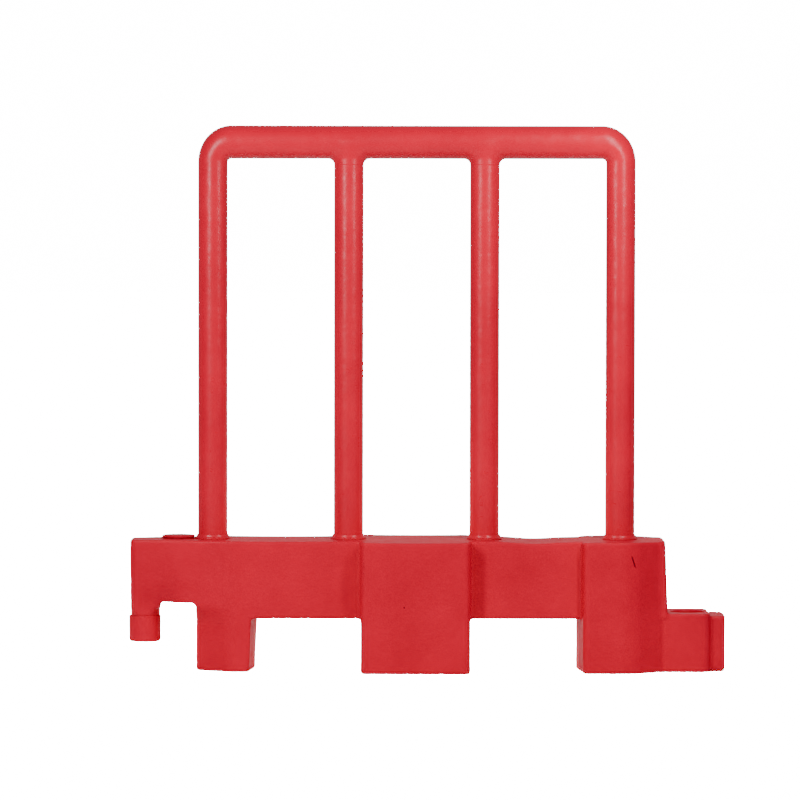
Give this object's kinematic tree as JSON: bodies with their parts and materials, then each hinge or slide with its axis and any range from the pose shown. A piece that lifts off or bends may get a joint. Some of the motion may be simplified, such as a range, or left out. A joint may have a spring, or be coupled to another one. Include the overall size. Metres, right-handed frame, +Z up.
{
  "type": "water filled barrier",
  "caption": "Low hollow water filled barrier on three feet with an upright tubular guard frame, a coupling peg at one end and a socket lug at the other.",
  "frame": {"origin": "middle of the overall box, on the ground", "axes": "+X along the barrier from the peg towards the lug, +Y from the front to the rear, +Z up"},
  "size_m": [1.098, 0.24, 1],
  "materials": {
    "shell_plastic": "satin moulded red polyethylene",
    "frame_plastic": "satin moulded red polyethylene, a little glossier than the tank",
    "trim_plastic": "satin injection moulded red plastic",
    "seal_rubber": "black rubber"
  },
  "bodies": {
    "barrier": {"tank_shell": "shell_plastic", "coupling_peg": "shell_plastic", "guard_hoop": "frame_plastic", "inner_upright_left": "frame_plastic", "inner_upright_right": "frame_plastic", "ferrule_outer_left": "trim_plastic", "ferrule_inner_left": "trim_plastic", "ferrule_inner_right": "trim_plastic", "ferrule_outer_right": "trim_plastic", "fill_neck": "trim_plastic", "drain_bush": "trim_plastic"},
    "fill_seal": {"fill_cap_gasket": "seal_rubber"},
    "fill_cap": {"fill_cap": "trim_plastic"},
    "drain_seal": {"drain_plug_gasket": "seal_rubber"},
    "drain_plug": {"drain_plug": "trim_plastic"}
  },
  "joints": [
    {"name": "fill_cap_lift", "type": "slide", "parent": "barrier", "child": "fill_seal", "axis": [0, 0, 1], "range_m": [0, 0.012]},
    {"name": "fill_cap_turn", "type": "hinge", "parent": "fill_seal", "child": "fill_cap", "pos_m": [-0.4575, 0, 0.24], "axis": [0, 0, 1], "range_deg": [0, 1080]},
    {"name": "drain_plug_draw", "type": "slide", "parent": "barrier", "child": "drain_seal", "axis": [0, 1, 0], "range_m": [0, 0.009]},
    {"name": "drain_plug_turn", "type": "hinge", "parent": "drain_seal", "child": "drain_plug", "pos_m": [-0.021, 0.11, 0.042], "axis": [0, 1, 0], "range_deg": [0, 1080]}
  ],
  "couplings": [
    {"joint": "fill_cap_turn", "follows": "fill_cap_lift", "rad_per_m": 1570.8},
    {"joint": "drain_plug_turn", "follows": "drain_plug_draw", "rad_per_m": 2094.4}
  ]
}
